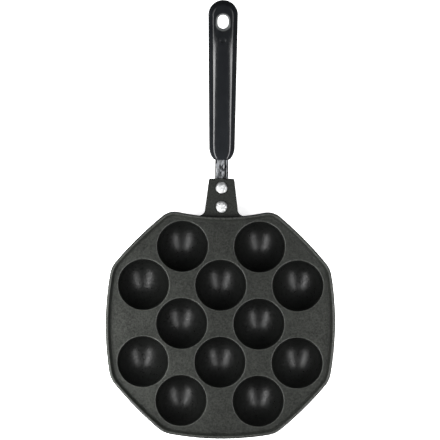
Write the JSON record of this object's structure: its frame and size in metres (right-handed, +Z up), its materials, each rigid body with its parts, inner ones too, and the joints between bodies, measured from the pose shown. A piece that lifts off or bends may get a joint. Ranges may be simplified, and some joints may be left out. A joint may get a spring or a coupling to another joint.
{
  "type": "takoyaki pan",
  "caption": "Cast pan with round hemispherical cups in a raised-rim octagonal plate, and a black moulded grip riveted on by a steel tang, for cooking batter balls over a flame.",
  "frame": {"origin": "middle of the cup pattern, on the plane that the feet of the cups stand on", "axes": "+Y along the handle, towards the grip, and +Z up, out of the cups"},
  "size_m": [0.1902, 0.3629, 0.0417],
  "materials": {
    "coated_casting": "satin",
    "tang_steel": "satin",
    "rivet_aluminium": "satin",
    "phenolic": "gloss",
    "screw_steel": "satin"
  },
  "bodies": {
    "root": {"pan_plate": "coated_casting", "tang": "tang_steel", "rivet_near_pan": "rivet_aluminium", "rivet_near_grip": "rivet_aluminium", "grip": "phenolic", "grip_screw": "screw_steel"}
  },
  "joints": []
}
